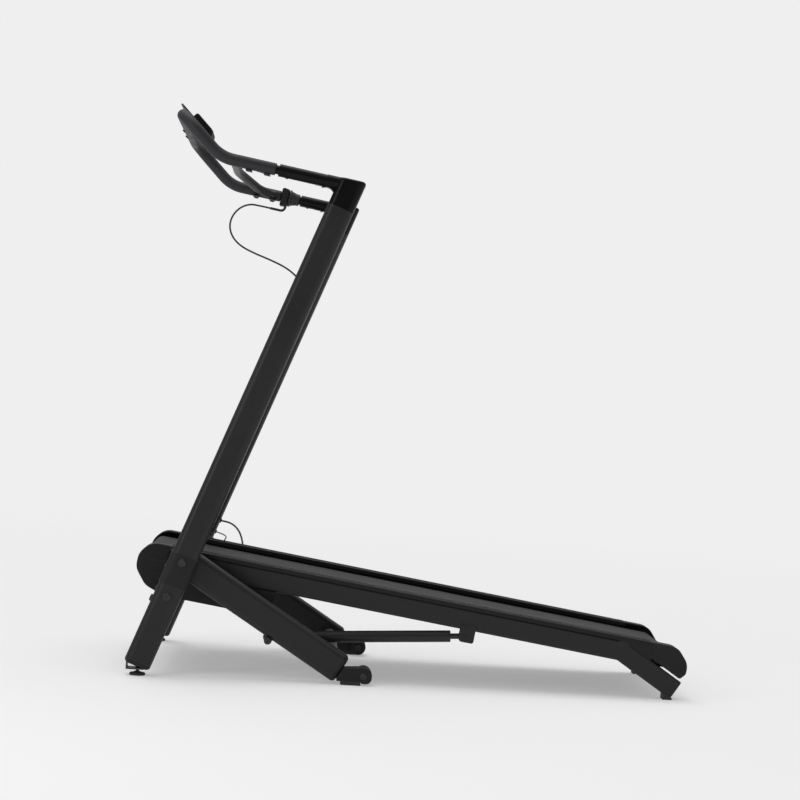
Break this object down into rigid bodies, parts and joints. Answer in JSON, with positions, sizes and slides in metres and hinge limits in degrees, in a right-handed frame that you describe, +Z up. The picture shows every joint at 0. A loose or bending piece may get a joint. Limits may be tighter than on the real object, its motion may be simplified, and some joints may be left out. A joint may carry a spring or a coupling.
{
  "type": "folding treadmill",
  "caption": "Motorless folding treadmill: leaning uprights with a curved handlebar, a low inclined belt deck that folds up, a side strut and transport wheels.",
  "frame": {"origin": "centre of the footprint, on the floor", "axes": "+X to the rear of the machine, +Y to the walker's right, +Z up"},
  "size_m": [1.3892, 0.75, 1.4168],
  "materials": {
    "frame_paint": "satin powder coat, charcoal black",
    "arm_paint": "semi-gloss black cast metal",
    "black_plastic": "fine-textured moulded black plastic",
    "belt": "woven walking belt with a fine diamond top, dark grey",
    "soft_grip": "soft matt black grip covering",
    "rubber": "black rubber",
    "steel": "zinc-plated and turned steel",
    "dark_steel": "black oxide fasteners",
    "board": "waxed black-faced fibreboard",
    "trim": "ribbed step rail, dark grey",
    "lens": "dark display window",
    "cable": "black cable sheath"
  },
  "bodies": {
    "root": {"lower_legs": "frame_paint", "uprights": "frame_paint", "joint_inserts": "steel", "joint_collars": "black_plastic", "leg_caps": "black_plastic", "frame_bolts": "dark_steel", "rear_legs": "frame_paint", "cross_tubes": "frame_paint", "pivot_pins": "dark_steel", "foot_brackets": "dark_steel", "wheel_brackets": "black_plastic", "base_pads": "rubber", "strut_base_bracket": "frame_paint", "handlebar": "arm_paint", "handlebar_cover": "soft_grip", "arm_brackets": "arm_paint", "handle_screws": "dark_steel", "twist_grip_housing": "black_plastic", "inner_grip_bar": "frame_paint", "handle_clamps": "black_plastic", "console_panel": "black_plastic", "display_housing": "black_plastic", "display_lens": "lens", "brake_cable_upper": "cable", "brake_cable_lower": "cable", "sensor_cable_lower": "cable", "brake_cable_in_post": "cable", "cable_noodle": "cable", "cable_grommets": "rubber"},
    "deck": {"side_rail_left": "frame_paint", "side_rail_right": "frame_paint", "pivot_bushes": "steel", "foot_rails": "trim", "deck_board": "board", "deck_cross_members": "frame_paint", "deck_cushion_pads": "rubber", "running_belt": "belt", "roller_axles": "steel", "roller_brackets": "frame_paint", "brake_pins": "steel", "brake_hangers": "frame_paint", "drive_belt": "rubber", "front_caps": "black_plastic", "under_cover": "black_plastic", "rear_caps": "black_plastic", "rear_feet": "rubber", "strut_deck_bracket": "frame_paint", "rail_grommets": "rubber"},
    "front_roller": {"front_roller": "steel"},
    "rear_roller": {"rear_roller": "steel"},
    "flywheel": {"flywheel": "steel"},
    "magnet_arm": {"magnet_arm": "frame_paint"},
    "strut_cylinder": {"strut_cylinder": "frame_paint"},
    "strut_rod": {"strut_rod": "dark_steel"},
    "transport_wheel_left": {"transport_wheel_left": "black_plastic"},
    "transport_wheel_right": {"transport_wheel_right": "black_plastic"},
    "levelling_foot_left": {"levelling_foot_left": "rubber"},
    "levelling_foot_right": {"levelling_foot_right": "rubber"},
    "twist_grip": {"twist_grip": "soft_grip"},
    "display_button": {"display_button": "soft_grip"}
  },
  "joints": [
    {"name": "deck_fold", "type": "hinge", "parent": "root", "child": "deck", "pos_m": [-0.57109, 0, 0.2784], "axis": [0, -1, 0], "range_deg": [0, 77.46], "deforming": ["brake_cable_lower", "sensor_cable_lower"]},
    {"name": "strut_swing", "type": "hinge", "parent": "root", "child": "strut_cylinder", "pos_m": [-0.35361, -0.23475, 0.097], "axis": [0, -1, 0], "range_deg": [0, 80.76]},
    {"name": "strut_extend", "type": "slide", "parent": "strut_cylinder", "child": "strut_rod", "axis": [0.998, 0, 0.0626], "range_m": [0, 0.35245]},
    {"name": "front_roller_spin", "type": "hinge", "parent": "deck", "child": "front_roller", "pos_m": [-0.65612, 0, 0.27671], "axis": [0, 1, 0], "continuous": true},
    {"name": "rear_roller_spin", "type": "hinge", "parent": "deck", "child": "rear_roller", "pos_m": [0.65148, 0, 0.0962], "axis": [0, 1, 0], "continuous": true},
    {"name": "flywheel_spin", "type": "hinge", "parent": "deck", "child": "flywheel", "pos_m": [-0.50804, 0.20675, 0.22326], "axis": [0, 1, 0], "continuous": true},
    {"name": "resistance_turn", "type": "hinge", "parent": "root", "child": "twist_grip", "pos_m": [-0.37873, 0.34, 1.24025], "axis": [0.9882, 0, -0.153], "range_deg": [0, 120]},
    {"name": "magnet_arm_swing", "type": "hinge", "parent": "deck", "child": "magnet_arm", "pos_m": [-0.44761, 0.20675, 0.21492], "axis": [0, 1, 0], "range_deg": [0, 15]},
    {"name": "transport_wheel_left_spin", "type": "hinge", "parent": "root", "child": "transport_wheel_left", "pos_m": [-0.11409, -0.266, 0.023], "axis": [0, 1, 0], "continuous": true},
    {"name": "transport_wheel_right_spin", "type": "hinge", "parent": "root", "child": "transport_wheel_right", "pos_m": [-0.11409, 0.266, 0.023], "axis": [0, 1, 0], "continuous": true},
    {"name": "levelling_foot_left_screw", "type": "slide", "parent": "root", "child": "levelling_foot_left", "axis": [0, 0, 1], "range_m": [-0.006, 0.002]},
    {"name": "levelling_foot_right_screw", "type": "slide", "parent": "root", "child": "levelling_foot_right", "axis": [0, 0, 1], "range_m": [-0.006, 0.002]},
    {"name": "display_button_press", "type": "slide", "parent": "root", "child": "display_button", "axis": [-0.7145, 0, -0.6997], "range_m": [0, 0.0015], "stiffness_N_per_m": 400}
  ],
  "couplings": [
    {"joint": "strut_swing", "follows": "deck_fold", "ratio": 1.0426},
    {"joint": "strut_extend", "follows": "deck_fold", "m_per_rad": 0.2607},
    {"joint": "rear_roller_spin", "follows": "front_roller_spin", "ratio": 1},
    {"joint": "flywheel_spin", "follows": "front_roller_spin", "ratio": 2},
    {"joint": "magnet_arm_swing", "follows": "resistance_turn", "ratio": 0.125}
  ]
}
